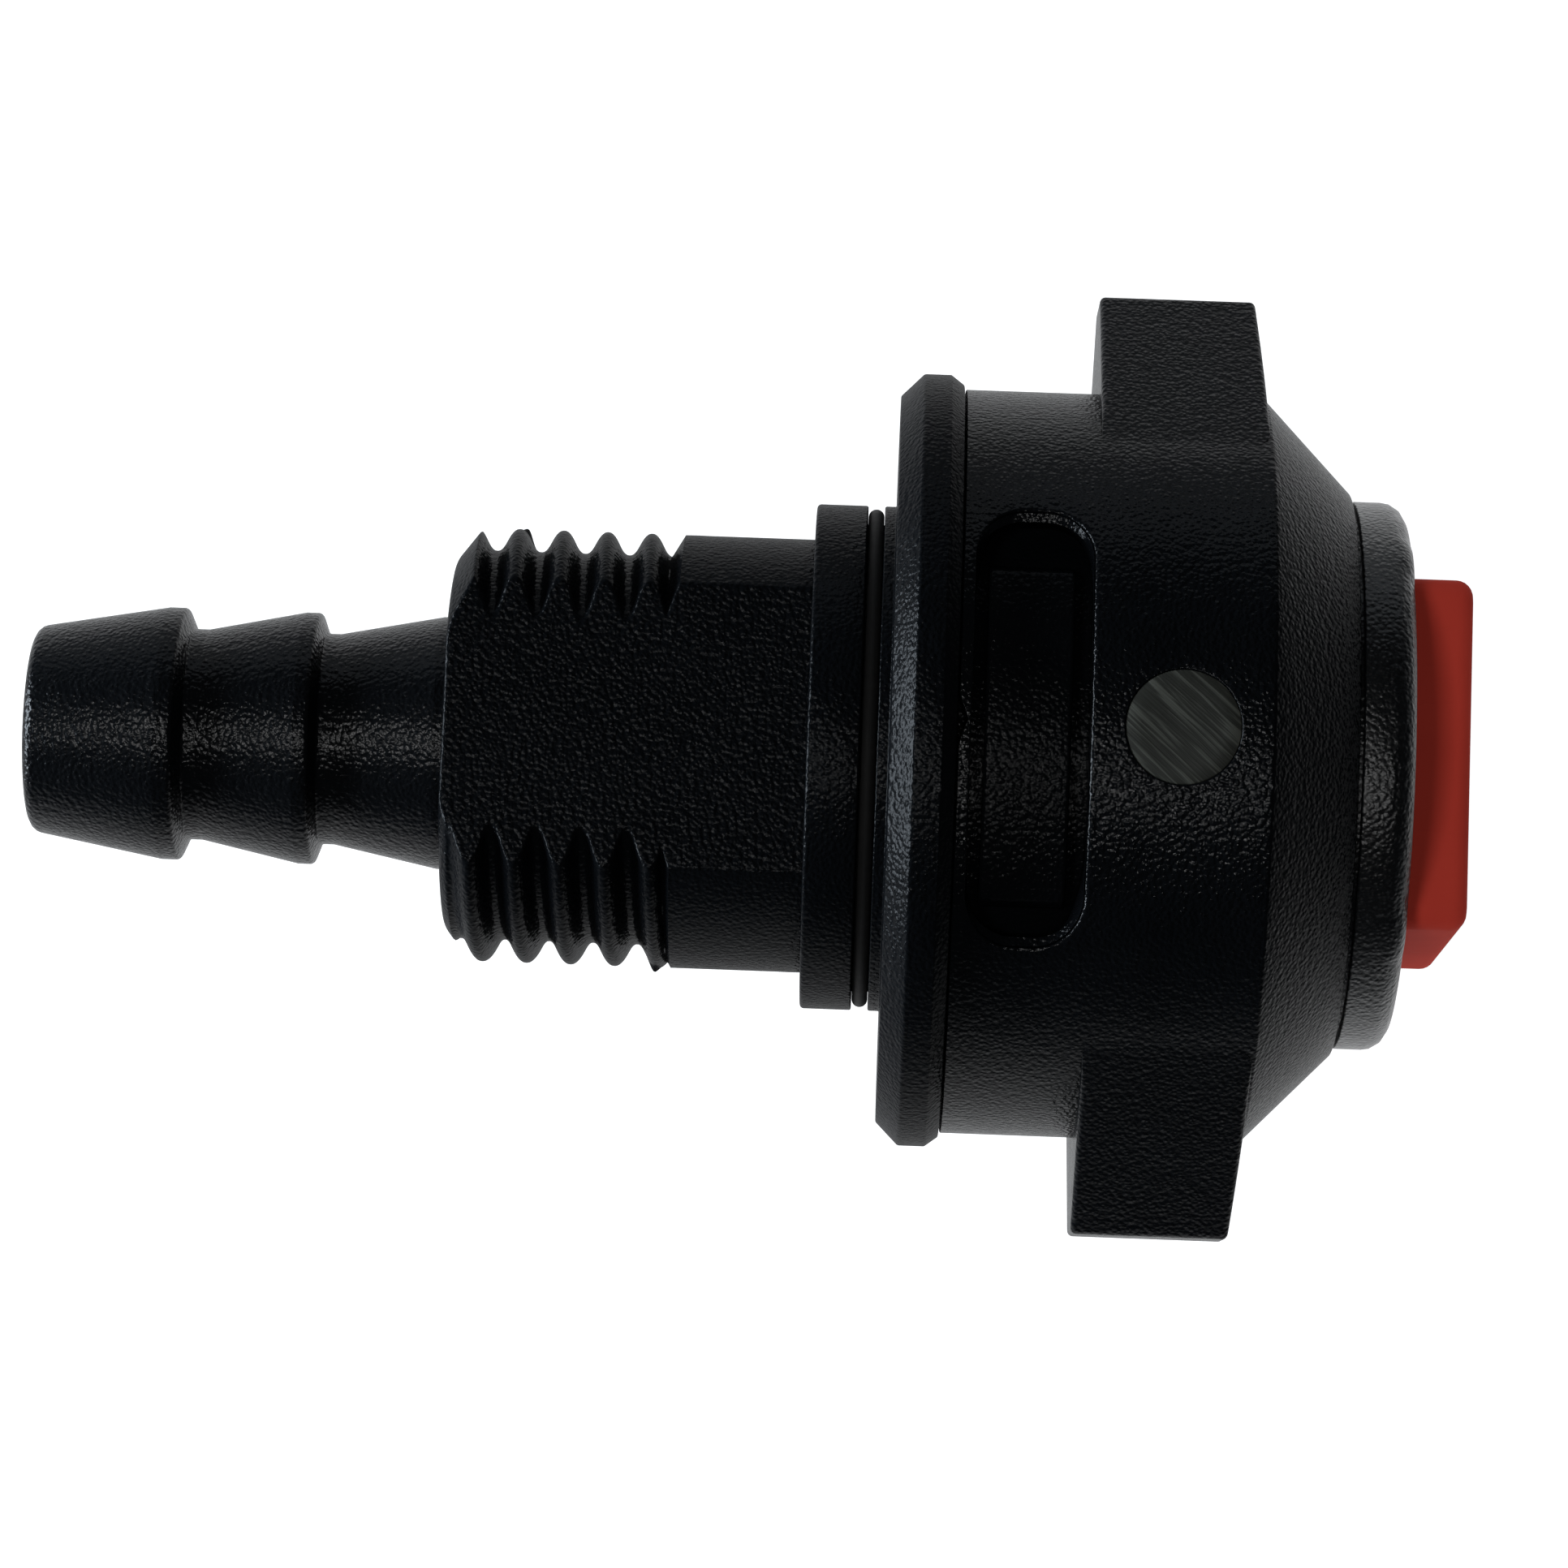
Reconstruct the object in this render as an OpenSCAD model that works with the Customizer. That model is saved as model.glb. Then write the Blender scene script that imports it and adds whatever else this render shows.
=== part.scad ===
// Push-button, spring-return drain valve for a boat's hull or tank.
// The axis of the valve is X. The hose barb points to -X and the red button to +X.
// The origin is on the axis, in the plane where the flange seats on the panel.
// The two wings stand out along +Y and -Y; the windows, lugs and pins lie along +Z and -Z.

/* [Hose barb] */
// Radius of the waterway through the barb and shank
waterway_r = 2.1; // [1.6:0.1:2.4]
// Distance from the flange's seating face to the barb's tip
barb_tip_depth = 25.95; // [24:0.05:28]
// Radius of the barb's tip
barb_tip_r = 3.105; // [3.0:0.005:3.2]
// Radius of the barb's ridges
barb_crest_r = 3.83; // [3.6:0.01:4.2]
// Radius of the necks between the ridges
barb_neck_r = 3.2; // [3.0:0.05:3.4]

/* [Threaded shank] */
// Distance from the seating face to the shank's end face
shank_depth = 13.23; // [12.5:0.01:14]
// Radius of the smooth shank
shank_r = 6.57; // [6.4:0.01:6.6]
// Outside radius of the thread, a quarter-inch pipe thread
thread_r = 6.5785; // [6.5:0.0005:6.6]
// Radius of the thread's root
thread_root_r = 5.84; // [5.7:0.01:6]
// Pitch of the thread
thread_pitch = 1.337; // [1.2:0.001:1.5]
// Distance from the axis to each of the two flats
flat_depth = 5.0; // [4.8:0.05:5.3]
// Angle by which the flats and the button are turned from the wings
square_turn_angle = -2.8; // [-5:0.1:5]

/* [Collar and flange] */
// Radius of the collar that centres the valve in the panel
collar_r = 7.65; // [7.5:0.01:7.8]
// Length of the collar
collar_l = 2.41; // [2.2:0.01:2.8]
// Radius of the flange
flange_r = 11.69; // [11.6:0.01:12.5]
// Thickness of the flange
flange_t = 1.9; // [1.7:0.05:1.95]
// Chamfer on the flange's panel side
flange_chamfer = 0.69; // [0.3:0.01:0.9]

/* [Drum inside the cap] */
// Outside radius of the drum
drum_r = 10.0; // [9.9:0.01:10.02]
// Radius of the drum's chamber
chamber_r = 8.2; // [8.18:0.01:8.3]
// Distance from the seating face to the drum's open end
drum_end = 11.0; // [10.9:0.05:11.1]
// Radius over the two lugs that show in the cap's windows
lug_r = 10.75; // [10.5:0.05:10.9]
// Half of the angle that a lug spans
lug_half_angle = 28.6; // [20:0.1:29]
// Angle by which the lugs sit off the windows' middles
lug_offset_angle = 1.5; // [0:0.1:2]

/* [Winged cap] */
// Outside radius of the cap's barrel
barrel_r = 11.26; // [11.2:0.01:11.5]
// Distance from the seating face to the barrel's front edge
barrel_end = 10.95; // [10.9:0.01:11.3]
// Distance from the seating face to the cone's front face
cone_end = 13.6; // [13.5:0.01:13.8]
// Radius at the front of the cone
cone_front_r = 8.45; // [8.4:0.01:8.8]
// Distance from the axis to a wing's tip
wing_tip = 14.2; // [13:0.1:16]
// Half of a wing's thickness at its tip
wing_tip_half = 1.35; // [1:0.05:2]
// Half of a wing's thickness where it meets the barrel
wing_base_half = 6.9; // [6:0.1:7.5]
// Half of the angle that a window spans
window_half_angle = 34.0; // [33.5:0.1:37]

/* [Button] */
// Side of the square button
button_w = 10.5; // [10.3:0.05:10.5]
// Distance from the seating face to the button's front face
button_front = 17.15; // [17.1:0.05:18]
// Travel of the button
button_travel = 1.6; // [1:0.1:1.6]

/* [Hidden] */

black = [0.07, 0.08, 0.09];
dark_rubber = [0.03, 0.03, 0.03];
steel = [0.66, 0.67, 0.69];
grey_pin = [0.27, 0.28, 0.25];
button_red = [0.66, 0.13, 0.1];
white_plastic = [0.85, 0.85, 0.82];

round_fn = 96;
through = 1;
fit_gap = 0.05;
part_gap = 0.1;

// Valve chamber and seat
inlet_chamber_r = 4.4;
seat_start = 2.2;
seat_t = 2.0;
seat_hole_r = 2.6;
seat_end = seat_start + seat_t;
insert_r = chamber_r - fit_gap;
guide_start = 8.95;
guide_t = 1.3;
port_r = 0.3;
port_x = 5.6;
port_angles = [-18, -6, 6, 18];

// O-rings: thickness of the section and the grooves that hold them
groove_w = 0.5;
panel_groove_r = 7.05;
panel_groove_x = -0.61;
panel_section_r = 0.24;
insert_groove_r = 7.85;
insert_section_r = 0.15;
seat_groove_x = seat_start + seat_t / 2;
guide_groove_x = guide_start + guide_t / 2;
stem_groove_r = 1.52;
stem_section_r = 0.22;
cap_groove_w = 0.7;
cap_groove_r = 9.4;
cap_groove_x = 6.2;
cap_section_r = 0.3;

// Cap
cap_bore_r = drum_r + 0.06;
cap_start = flange_t + fit_gap;
cap_opening_r = 7.95;
cap_lip_x = 12.9;
window_x0 = 2.3;
window_x1 = 5.7;
window_corner_r = 1.4;
window_half_w = barrel_r * sin(window_half_angle);
lug_x0 = 2.7;
lug_x1 = 5.18;
lug_bevel = 0.45;
lug_bevel_angle = 2.4;
lug_foot_r = drum_r - 0.3;
notch_w = 1.3;
notch_depth = 0.25;
wing_x0 = 5.93;
wing_x1 = 10.88;
wing_base = sqrt(pow(barrel_r, 2) - pow(wing_base_half, 2));
wing_slope = (wing_base_half - wing_tip_half) / (wing_tip - wing_base);
wing_sink = 0.7;
wing_root = wing_base - wing_sink;
wing_root_half = wing_base_half + wing_sink * wing_slope;
pin_x = 8.35;
pin_r = 1.65;
pin_in = 9.1;
pin_out = barrel_r - 0.02;
pin_slot_half_w = 1.69;
pin_slot_r = 9.0;
pin_slot_half_angle = 25;

// Nose ring and button
nose_r = 8.29;
nose_front = 15.3;
nose_edge_r = 0.9;
nose_neck_r = 8.05;
nose_neck_l = 0.12;
nose_boss_r = cap_opening_r - fit_gap;
button_hole_w = button_w + 0.12;
button_corner_r = 0.75;
button_edge = 0.5;
skirt_r = 7.3;
skirt_t = 0.8;
skirt_x = cap_lip_x - part_gap - skirt_t;

// Stem, valve disc, clips and spring
stem_r = 1.0;
stem_start = -0.6;
stem_end = 16.0;
inlet_chamber_start = stem_start - button_travel - 0.8;
clip_groove_r = 0.75;
clip_groove_w = 0.3;
clip_r = 1.7;
clip_t = 0.26;
clip_gap_half = 0.45;
disc_clip_x = -0.15;
disc_x = 0.1;
disc_end = 1.75;
disc_r = 3.5;
disc_groove_x = 1.42;
disc_groove_half_w = 0.37;
seal_mid_r = 3.05;
seal_section_r = 0.35;
washer_x = 8.0;
washer_t = 0.5;
washer_r = 4.0;
spring_clip_x = washer_x + washer_t + clip_groove_w / 2;
spring_mid_r = 3.4;
spring_wire_r = 0.25;
spring_turns = 3.75;
spring_steps = 18;
wire_sides = 8;

// Barb: each ridge is a cone that ends in a short crest and a step
ridge_1_x = 21.94;
ridge_2_x = 17.78;
ridge_3_x = 13.59;
crest_l = 0.5;
step_l = 0.26;
neck_l = 0.4;
barb_edge_r = 0.4;
shank_chamfer_r = 5.59;
shank_chamfer_l = 0.76;
runout_x = -6.75;
smooth_x = -6.36;
collar_chamfer = 0.25;
flange_front_chamfer = 0.25;

// Thread: a symmetric ridge swept round a right-handed helix
ridge_foot_r = thread_root_r - 0.15;
crest_half = 0.1;
flank_angle = 27.5;
thread_first_x = -13.0;
thread_last_x = -6.6;
thread_crest_at_y = -10.09;
thread_steps = 36;

// Turns a profile of [radius, x] points round the X axis
module turned(profile) {
    rotate([0, 90, 0])
        rotate_extrude($fn = round_fn)
            polygon(profile);
}

// A cylinder along X
module rod(r, x0, x1) {
    translate([x0, 0, 0])
        rotate([0, 90, 0])
            cylinder(r = r, h = x1 - x0, $fn = round_fn);
}

// A ring of round section about the X axis
module o_ring(mid_r, section_r, x) {
    translate([x, 0, 0])
        rotate([0, 90, 0])
            rotate_extrude($fn = round_fn)
                translate([mid_r, 0])
                    circle(r = section_r, $fn = 32);
}

// A groove round a shaft or drum
module outer_groove(r, outside, x, w) {
    translate([x - w / 2, 0, 0])
        rotate([0, 90, 0])
            difference() {
                cylinder(r = outside + through, h = w, $fn = round_fn);
                cylinder(r = r, h = w, $fn = round_fn);
            }
}

// Part of a ring about X, centred on +Z turned by mid towards -Y
module sector(r0, r1, x0, x1, half_angle, mid) {
    reach = 2 * r1;
    side = reach * tan(half_angle);
    intersection() {
        difference() {
            rod(r1, x0, x1);
            rod(r0, x0 - through, x1 + through);
        }
        rotate([mid, 0, 0])
            translate([x0 - through, 0, 0])
                rotate([90, 0, 90])
                    linear_extrude(height = x1 - x0 + 2 * through)
                        polygon([[0, 0], [side, reach], [-side, reach]]);
    }
}

// Repeats a feature on the +Z side and on the -Z side
module both_sides() {
    for (turn = [0, 180])
        rotate([turn, 0, 0])
            children();
}

// Points of a quarter round from the side of a bar to its end face
function quarter(r, x, edge, dir) = [
    for (a = [0 : 22.5 : 90]) [r - edge + edge * cos(a), x + dir * (edge * sin(a) - edge)]
];

// Outline of the body's outside, from the barb's tip to the drum's open end
function body_outline() = concat(
    [[0, -barb_tip_depth]],
    [for (a = [90 : -22.5 : 0]) [
        barb_tip_r - barb_edge_r + barb_edge_r * cos(a),
        -barb_tip_depth + barb_edge_r - barb_edge_r * sin(a)
    ]],
    [
        [barb_crest_r, -ridge_1_x],
        [barb_crest_r, -ridge_1_x + crest_l],
        [barb_neck_r, -ridge_1_x + crest_l + step_l],
        [barb_neck_r, -ridge_1_x + crest_l + step_l + neck_l],
        [barb_crest_r, -ridge_2_x],
        [barb_crest_r, -ridge_2_x + crest_l],
        [barb_neck_r, -ridge_2_x + crest_l + step_l],
        [barb_neck_r, -ridge_2_x + crest_l + step_l + neck_l],
        [barb_crest_r, -ridge_3_x],
        [barb_crest_r, -shank_depth],
        [shank_chamfer_r, -shank_depth],
        [thread_root_r, -shank_depth + shank_chamfer_l * (thread_root_r - shank_chamfer_r)],
        [thread_root_r, runout_x],
        [shank_r, smooth_x],
        [shank_r, -collar_l],
        [collar_r - collar_chamfer, -collar_l],
        [collar_r, -collar_l + collar_chamfer],
        [collar_r, 0],
        [flange_r - flange_chamfer, 0],
        [flange_r, flange_chamfer],
        [flange_r, flange_t - flange_front_chamfer],
        [flange_r - flange_front_chamfer, flange_t],
        [drum_r, flange_t],
        [drum_r, drum_end],
        [0, drum_end]
    ]
);

// Crest radius of the thread at x, limited by the chamfer at the shank's end
function crest_r(x) = min(
    thread_r,
    shank_chamfer_r + (x + shank_depth) * (thread_r - shank_chamfer_r) / shank_chamfer_l
);

// One cross-section of the thread's ridge, at a turn angle measured from +Y towards +Z
function ridge_ring(turn) =
    let (
        x = thread_crest_at_y + thread_pitch * turn / 360,
        top = max(crest_r(x), ridge_foot_r + 0.1),
        foot_half = crest_half + (thread_r - ridge_foot_r) * tan(flank_angle),
        top_half = foot_half - (top - ridge_foot_r) * tan(flank_angle)
    )
    [
        for (p = [
            [ridge_foot_r, -foot_half], [top, -top_half], [top, top_half], [ridge_foot_r, foot_half]
        ])
            [x + p[1], p[0] * cos(turn), p[0] * sin(turn)]
    ];

// A closed tube through rings of points
module swept(rings) {
    n = len(rings[0]);
    last = len(rings) - 1;
    polyhedron(
        points = [for (ring = rings) each ring],
        faces = concat(
            [[for (i = [n - 1 : -1 : 0]) i]],
            [for (j = [0 : last - 1], i = [0 : n - 1])
                [j * n + i, j * n + (i + 1) % n, (j + 1) * n + (i + 1) % n, (j + 1) * n + i]],
            [[for (i = [0 : n - 1]) last * n + i]]
        ),
        convexity = 10
    );
}

module thread_ridge() {
    first = floor((thread_first_x - thread_crest_at_y) / thread_pitch * thread_steps);
    last = ceil((thread_last_x - thread_crest_at_y) / thread_pitch * thread_steps);
    swept([for (i = [first : last]) ridge_ring(i * 360 / thread_steps)]);
}

// Removes everything beyond the two flats of the shank
module shank_flats() {
    cut_l = shank_depth - collar_l + through;
    rotate([square_turn_angle, 0, 0])
        both_sides()
            translate([-shank_depth - through, -thread_r - through, flat_depth])
                cube([cut_l, 2 * (thread_r + through), thread_r]);
}

// A lug whose ends step down to the drum
module lug() {
    sector(lug_foot_r, lug_r - lug_bevel, lug_x0, lug_x1, lug_half_angle, lug_offset_angle);
    sector(lug_foot_r, lug_r, lug_x0, lug_x1, lug_half_angle - lug_bevel_angle, lug_offset_angle);
}

module valve_body() {
    color(black)
        difference() {
            union() {
                turned(body_outline());
                thread_ridge();
                both_sides()
                    lug();
            }
            shank_flats();
            rod(waterway_r, -barb_tip_depth - through, inlet_chamber_start + through);
            rod(inlet_chamber_r, inlet_chamber_start, seat_start + through);
            rod(chamber_r, seat_start, drum_end + through);
            outer_groove(panel_groove_r, collar_r, panel_groove_x, groove_w);
            outer_groove(cap_groove_r, drum_r, cap_groove_x, cap_groove_w);
            both_sides()
                sector(
                    pin_slot_r, drum_r + through,
                    pin_x - pin_slot_half_w, pin_x + pin_slot_half_w, pin_slot_half_angle, 0
                );
            both_sides()
                for (angle = port_angles)
                    rotate([angle, 0, 0])
                        translate([port_x, 0, 0])
                            cylinder(r = port_r, h = drum_r + through, $fn = 32);
        }
}

module panel_o_ring() {
    color(dark_rubber)
        o_ring(panel_groove_r + panel_section_r + 0.02, panel_section_r, panel_groove_x);
}

module seat_disc() {
    color(white_plastic)
        difference() {
            rod(insert_r, seat_start, seat_end);
            rod(seat_hole_r, seat_start - through, seat_end + through);
            outer_groove(insert_groove_r, insert_r, seat_groove_x, groove_w);
        }
}

module seat_o_ring() {
    color(dark_rubber)
        o_ring(insert_groove_r + insert_section_r + 0.02, insert_section_r, seat_groove_x);
}

module stem_guide() {
    color(white_plastic)
        difference() {
            rod(insert_r, guide_start, guide_start + guide_t);
            rod(stem_r + fit_gap, guide_start - through, guide_start + guide_t + through);
            rod(stem_groove_r, guide_groove_x - groove_w / 2, guide_groove_x + groove_w / 2);
            outer_groove(insert_groove_r, insert_r, guide_groove_x, groove_w);
        }
}

module guide_o_ring() {
    color(dark_rubber)
        o_ring(insert_groove_r + insert_section_r + 0.02, insert_section_r, guide_groove_x);
}

module stem_o_ring() {
    color(dark_rubber)
        o_ring(stem_r + fit_gap + stem_section_r, stem_section_r, guide_groove_x);
}

module cap_o_ring() {
    color(dark_rubber)
        o_ring(cap_groove_r + cap_section_r + 0.03, cap_section_r, cap_groove_x);
}

// A rectangle with round corners, centred on the origin
module rounded_rect(w, h, corner_r) {
    square([w, h - 2 * corner_r], center = true);
    square([w - 2 * corner_r, h], center = true);
    for (x = [-w / 2 + corner_r, w / 2 - corner_r], y = [-h / 2 + corner_r, h / 2 - corner_r])
        translate([x, y])
            circle(r = corner_r, $fn = 32);
}

// The cutter for one window, with walls parallel to Z
module window() {
    inner = cap_bore_r * cos(window_half_angle) - through;
    translate([(window_x0 + window_x1) / 2, 0, inner])
        linear_extrude(height = barrel_r + through - inner)
            rounded_rect(window_x1 - window_x0, 2 * window_half_w, window_corner_r);
}

// The cutter for the small notch in the cap's rim, in line with the window's middle
module rim_notch() {
    translate([0, 0, cap_bore_r - through])
        linear_extrude(height = barrel_r)
            polygon([
                [cap_start - through, notch_w], [cap_start, notch_w / 2],
                [cap_start + notch_depth, 0], [cap_start, -notch_w / 2],
                [cap_start - through, -notch_w]
            ]);
}

// One wing: a gable that narrows from the barrel to its tip
module wing() {
    translate([wing_x0, 0, 0])
        rotate([90, 0, 90])
            linear_extrude(height = wing_x1 - wing_x0)
                polygon([
                    [wing_root, wing_root_half], [wing_tip, wing_tip_half],
                    [wing_tip, -wing_tip_half], [wing_root, -wing_root_half]
                ]);
}

module winged_cap() {
    inner_cone_x = drum_end + 0.2;
    color(black)
        difference() {
            union() {
                turned([
                    [0, cap_start], [barrel_r, cap_start], [barrel_r, barrel_end],
                    [cone_front_r, cone_end], [0, cone_end]
                ]);
                both_sides()
                    wing();
            }
            turned([
                [0, cap_start - through], [cap_bore_r, cap_start - through],
                [cap_bore_r, inner_cone_x], [cap_opening_r, cap_lip_x],
                [cap_opening_r, cone_end + through], [0, cone_end + through]
            ]);
            both_sides() {
                window();
                rim_notch();
                translate([pin_x, 0, 0])
                    cylinder(r = pin_r, h = barrel_r + through, $fn = 48);
            }
        }
}

// A pin that stands along Z, with its outer end flush with the barrel
module cap_pin() {
    color(grey_pin)
        translate([pin_x, 0, pin_in])
            cylinder(r = pin_r, h = pin_out - pin_in, $fn = 48);
}

module cap_pin_upper() {
    cap_pin();
}

module cap_pin_lower() {
    rotate([180, 0, 0])
        cap_pin();
}

// A square bar along X with rounded long edges, turned in line with the flats
module square_bar(w, corner_r, x0, x1) {
    rotate([square_turn_angle, 0, 0])
        translate([x0, 0, 0])
            rotate([90, 0, 90])
                linear_extrude(height = x1 - x0)
                    rounded_rect(w, w, corner_r);
}

module nose_ring() {
    color(black)
        difference() {
            turned(concat(
                [
                    [0, cap_lip_x], [nose_boss_r, cap_lip_x], [nose_boss_r, cone_end],
                    [nose_neck_r, cone_end], [nose_neck_r, cone_end + nose_neck_l],
                    [nose_r, cone_end + nose_neck_l]
                ],
                quarter(nose_r, nose_front, nose_edge_r, 1),
                [[0, nose_front]]
            ));
            square_bar(button_hole_w, button_corner_r, cap_lip_x - through, nose_front + through);
        }
}

module push_button() {
    color(button_red)
        difference() {
            union() {
                rod(skirt_r, skirt_x, skirt_x + skirt_t);
                square_bar(button_w, button_corner_r, skirt_x, button_front - button_edge);
                square_bar(
                    button_w - 2 * button_edge, button_corner_r,
                    button_front - button_edge - part_gap, button_front
                );
                turned([
                    [0, button_front - button_edge], [button_w / 2, button_front - button_edge],
                    [button_w / 2 - button_edge, button_front], [0, button_front]
                ]);
            }
            rod(stem_r, skirt_x - through, stem_end);
        }
}

module stem() {
    disc_groove = [disc_clip_x - clip_groove_w / 2, disc_clip_x + clip_groove_w / 2];
    spring_groove = [spring_clip_x - clip_groove_w / 2, spring_clip_x + clip_groove_w / 2];
    color(steel)
        turned([
            [0, stem_start], [stem_r, stem_start],
            [stem_r, disc_groove[0]], [clip_groove_r, disc_groove[0]],
            [clip_groove_r, disc_groove[1]], [stem_r, disc_groove[1]],
            [stem_r, spring_groove[0]], [clip_groove_r, spring_groove[0]],
            [clip_groove_r, spring_groove[1]], [stem_r, spring_groove[1]],
            [stem_r, stem_end], [0, stem_end]
        ]);
}

module valve_disc() {
    color(white_plastic)
        difference() {
            rod(disc_r, disc_x, disc_end);
            rod(stem_r + 0.02, disc_x - through, disc_end + through);
            translate([disc_groove_x, 0, 0])
                rotate([0, 90, 0])
                    difference() {
                        cylinder(r = seal_mid_r + disc_groove_half_w, h = through, $fn = round_fn);
                        cylinder(r = seal_mid_r - disc_groove_half_w, h = through, $fn = round_fn);
                    }
        }
}

module disc_seal() {
    color(dark_rubber)
        o_ring(seal_mid_r, seal_section_r, disc_groove_x + seal_section_r + 0.03);
}

// A snap ring with an open mouth, for a groove in the stem
module clip(x) {
    color(steel)
        difference() {
            rod(clip_r, x - clip_t / 2, x + clip_t / 2);
            rod(clip_groove_r + 0.01, x - clip_t, x + clip_t);
            translate([x - clip_t, -clip_gap_half, 0])
                cube([2 * clip_t, 2 * clip_gap_half, clip_r + through]);
        }
}

module disc_clip() {
    clip(disc_clip_x);
}

module spring_clip() {
    clip(spring_clip_x);
}

module spring_washer() {
    color(steel)
        difference() {
            rod(washer_r, washer_x, washer_x + washer_t);
            rod(stem_r + 0.02, washer_x - through, washer_x + washer_t + through);
        }
}

// One cross-section of the spring's wire
function wire_ring(turn) =
    let (
        start = seat_end + spring_wire_r + 0.02,
        rise = washer_x - seat_end - 2 * (spring_wire_r + 0.02),
        x = start + rise * turn / (360 * spring_turns)
    )
    [
        for (i = [0 : wire_sides - 1])
            let (
                a = i * 360 / wire_sides,
                r = spring_mid_r + spring_wire_r * cos(a)
            )
            [x - spring_wire_r * sin(a), r * cos(turn), r * sin(turn)]
    ];

module return_spring() {
    color(steel)
        swept([
            for (i = [0 : spring_turns * spring_steps]) wire_ring(i * 360 / spring_steps)
        ]);
}

valve_body();
panel_o_ring();
seat_disc();
seat_o_ring();
stem_guide();
guide_o_ring();
stem_o_ring();
cap_o_ring();
winged_cap();
cap_pin_upper();
cap_pin_lower();
nose_ring();
push_button();
stem();
valve_disc();
disc_seal();
disc_clip();
spring_washer();
spring_clip();
return_spring();
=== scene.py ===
# %% [markdown]
# # A push-button seacock valve
#
# The real valve is a small black moulded fitting: a hose barb, a threaded shank with two flats, a flange,
# a cap with two wings and a red push button. Nearly every piece was turned or moulded round one axis, so the
# lesson builds each skin from columns of points round that axis, and lets a column change with its angle
# where the thread, the flats, the wings and the windows need it. Sizes inside this file are in millimetres.

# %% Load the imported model
import math

import bmesh
import bpy
import numpy as np
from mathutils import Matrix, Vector


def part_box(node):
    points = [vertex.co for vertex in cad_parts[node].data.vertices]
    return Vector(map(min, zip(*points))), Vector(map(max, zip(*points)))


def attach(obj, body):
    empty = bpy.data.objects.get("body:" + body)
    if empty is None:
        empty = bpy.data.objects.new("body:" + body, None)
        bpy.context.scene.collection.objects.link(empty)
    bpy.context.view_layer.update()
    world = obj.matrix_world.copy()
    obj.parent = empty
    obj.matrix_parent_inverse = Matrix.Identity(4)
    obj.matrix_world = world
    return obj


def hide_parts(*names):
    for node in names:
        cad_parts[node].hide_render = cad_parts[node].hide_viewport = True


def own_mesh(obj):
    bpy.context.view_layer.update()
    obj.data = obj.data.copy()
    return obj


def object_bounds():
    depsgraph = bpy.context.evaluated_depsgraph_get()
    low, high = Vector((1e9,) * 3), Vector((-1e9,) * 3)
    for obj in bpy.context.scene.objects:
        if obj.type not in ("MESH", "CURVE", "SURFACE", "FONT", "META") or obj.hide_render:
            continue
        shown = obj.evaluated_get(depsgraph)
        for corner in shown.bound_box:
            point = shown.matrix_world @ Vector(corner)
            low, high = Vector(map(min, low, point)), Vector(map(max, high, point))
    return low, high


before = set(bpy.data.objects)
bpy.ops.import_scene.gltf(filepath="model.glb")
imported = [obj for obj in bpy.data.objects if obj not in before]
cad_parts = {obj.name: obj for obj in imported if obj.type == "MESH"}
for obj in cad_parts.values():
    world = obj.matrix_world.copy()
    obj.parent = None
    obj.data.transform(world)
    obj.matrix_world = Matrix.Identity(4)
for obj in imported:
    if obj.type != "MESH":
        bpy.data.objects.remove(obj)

MM = 0.001
cad_box = [[float(v) for v in corner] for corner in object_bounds()]
print("CAD box in metres:", cad_box)

# %% [markdown]
# ## Sizes
#
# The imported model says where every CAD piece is, so the driving sizes are read from its boxes. Only details
# that a box can't hold, such as fillets and the pitch of the thread, are given as numbers here.

# %% Driving sizes, read from the frame
def box_mm(node):
    low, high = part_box(node)
    return [v / MM for v in low], [v / MM for v in high]


body_low, body_high = box_mm("valve_body")
cap_low, cap_high = box_mm("winged_cap")
nose_high = box_mm("nose_ring")[1]
button_low, button_high = box_mm("push_button")
pin_low, pin_high = box_mm("cap_pin_upper")

TIP_X = body_low[0]
DRUM_END = body_high[0]
FLANGE_R = body_high[1]
CAP_START = cap_low[0]
CONE_END = cap_high[0]
WING_TIP = cap_high[1]
BARREL_R = cap_high[2]
NOSE_FRONT = nose_high[0]
NOSE_R = nose_high[1]
BUTTON_BACK = button_low[0]
BUTTON_FRONT = button_high[0]
SKIRT_R = button_high[1]
PIN_X = (pin_low[0] + pin_high[0]) / 2
PIN_R = (pin_high[0] - pin_low[0]) / 2
print("barb tip at", round(TIP_X, 2), "flange radius", round(FLANGE_R, 2), "wing tip", round(WING_TIP, 2))

# %% Detail sizes that no box gives
DRUM_R = 10.0
BORE_R = 2.1
SHANK_END = -13.23
SHANK_R = 6.57
SMOOTH_X = -6.36
COLLAR_X = -2.41
COLLAR_R = 7.65
FLAT = 5.0
SQUARE_TURN = -2.8
THREAD_R = 6.5785
ROOT_R = 5.90
PITCH = 1.337
BARREL_END = 10.95
CAP_BORE_R = 10.06
WINDOW_X = (2.3, 5.7)
WINDOW_HALF = 6.297
WINDOW_CORNER = 1.4
WINDOW_LEDGE = [(11.2, 0.03), (11.03, 0.28)]
WING_X = (5.93, 10.88)
print("thread pitch", PITCH, "crest radius", THREAD_R, "root radius", ROOT_R)

# %% [markdown]
# ## Rounded outlines
#
# No moulded edge is truly sharp, and it is the small fillets that catch the light. `rounded` takes a corner
# list and swaps each corner that has a radius for a short arc. It always gives the same number of points,
# even where two corners meet, because the columns of a skin must match point for point.

# %% Fillets on an outline
ARC_STEPS = 4


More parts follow.
